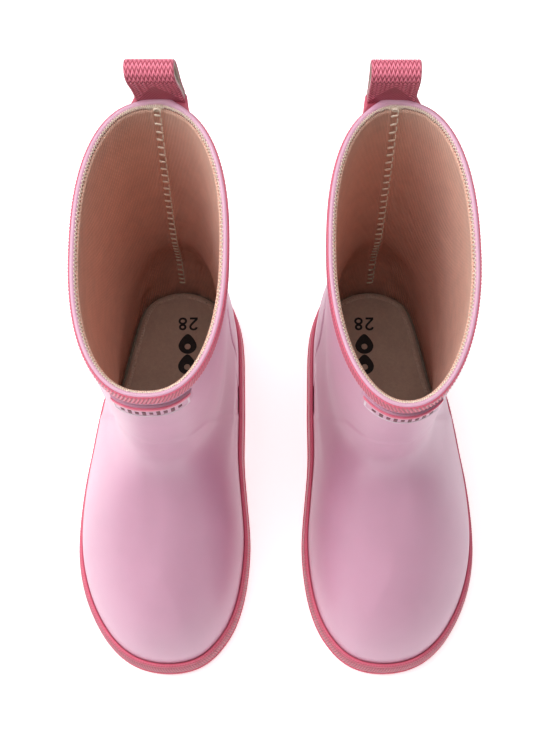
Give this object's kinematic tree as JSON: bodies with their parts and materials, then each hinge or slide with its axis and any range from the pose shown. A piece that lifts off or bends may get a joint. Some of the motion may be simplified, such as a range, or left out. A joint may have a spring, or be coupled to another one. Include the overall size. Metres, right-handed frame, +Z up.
{
  "type": "rubber rain boots",
  "caption": "Pair of child's pull-on rubber rain boots with knitted lining, removable insoles, ribbed top binding and webbing pull loops.",
  "frame": {"origin": "middle of the pair's footprint on the floor", "axes": "+Z up, toes towards -Y, +X from the right boot to the left boot"},
  "size_m": [0.1904, 0.2002, 0.2275],
  "materials": {
    "sole_rubber": "matt moulded rubber",
    "trim_rubber": "satin rubber, fine ribs",
    "upper_rubber": "smooth satin rubber",
    "binding_rubber": "ribbed band",
    "lining_knit": "fine rib knit",
    "stitch_thread": "polyester thread",
    "insole_textile": "felted textile",
    "insole_trim": "stitched trim",
    "print_ink": "screen print",
    "webbing": "chevron webbing",
    "loop_tape": "cotton tape",
    "label_frame": "raised outline",
    "sponge": "sponge rubber",
    "board": "fibre board"
  },
  "bodies": {
    "right_boot": {"right_foot_lining": "lining_knit", "right_foxing_band": "trim_rubber", "right_front_label": "upper_rubber", "right_front_label_frame": "label_frame", "right_front_label_motif": "print_ink", "right_heel_counter": "upper_rubber", "right_lasting_board": "board", "right_leg_lining": "lining_knit", "right_leg_rubber": "upper_rubber", "right_lining_seam": "stitch_thread", "right_loop_anchor": "webbing", "right_midsole_filler": "sponge", "right_outsole": "sole_rubber", "right_rim_overlock": "stitch_thread", "right_toe_guard": "trim_rubber", "right_top_binding": "binding_rubber", "right_vamp_rubber": "upper_rubber"},
    "right_insole": {"right_insole_cover": "insole_textile", "right_insole_edge": "insole_trim", "right_insole_foam": "sponge", "right_insole_print": "print_ink"},
    "right_pull_loop": {"right_pull_loop": "webbing", "right_pull_loop_tape": "loop_tape"},
    "left_boot": {"left_foot_lining": "lining_knit", "left_foxing_band": "trim_rubber", "left_front_label": "upper_rubber", "left_front_label_frame": "label_frame", "left_front_label_motif": "print_ink", "left_heel_counter": "upper_rubber", "left_lasting_board": "board", "left_leg_lining": "lining_knit", "left_leg_rubber": "upper_rubber", "left_lining_seam": "stitch_thread", "left_loop_anchor": "webbing", "left_midsole_filler": "sponge", "left_outsole": "sole_rubber", "left_rim_overlock": "stitch_thread", "left_toe_guard": "trim_rubber", "left_top_binding": "binding_rubber", "left_vamp_rubber": "upper_rubber"},
    "left_insole": {"left_insole_cover": "insole_textile", "left_insole_edge": "insole_trim", "left_insole_foam": "sponge", "left_insole_print": "print_ink"},
    "left_pull_loop": {"left_pull_loop": "webbing", "left_pull_loop_tape": "loop_tape"}
  },
  "joints": [
    {"name": "boots_apart", "type": "slide", "parent": "right_boot", "child": "left_boot", "axis": [1, 0, 0], "range_m": [0, 0.12]},
    {"name": "right_loop_fold", "type": "hinge", "parent": "right_boot", "child": "right_pull_loop", "pos_m": [-0.0458, 0.09348, 0.2076], "axis": [1, 0, 0], "range_deg": [-85, 75], "stiffness_Nm_per_rad": 0.02},
    {"name": "right_insole_lift", "type": "hinge", "parent": "right_boot", "child": "right_insole", "pos_m": [-0.052, -0.0919, 0.0106], "axis": [1, 0, 0], "range_deg": [0, 8]},
    {"name": "left_loop_fold", "type": "hinge", "parent": "left_boot", "child": "left_pull_loop", "pos_m": [0.0458, 0.09323, 0.2076], "axis": [1, 0, 0], "range_deg": [-85, 75], "stiffness_Nm_per_rad": 0.02},
    {"name": "left_insole_lift", "type": "hinge", "parent": "left_boot", "child": "left_insole", "pos_m": [0.052, -0.0919, 0.0106], "axis": [1, 0, 0], "range_deg": [0, 8]}
  ]
}
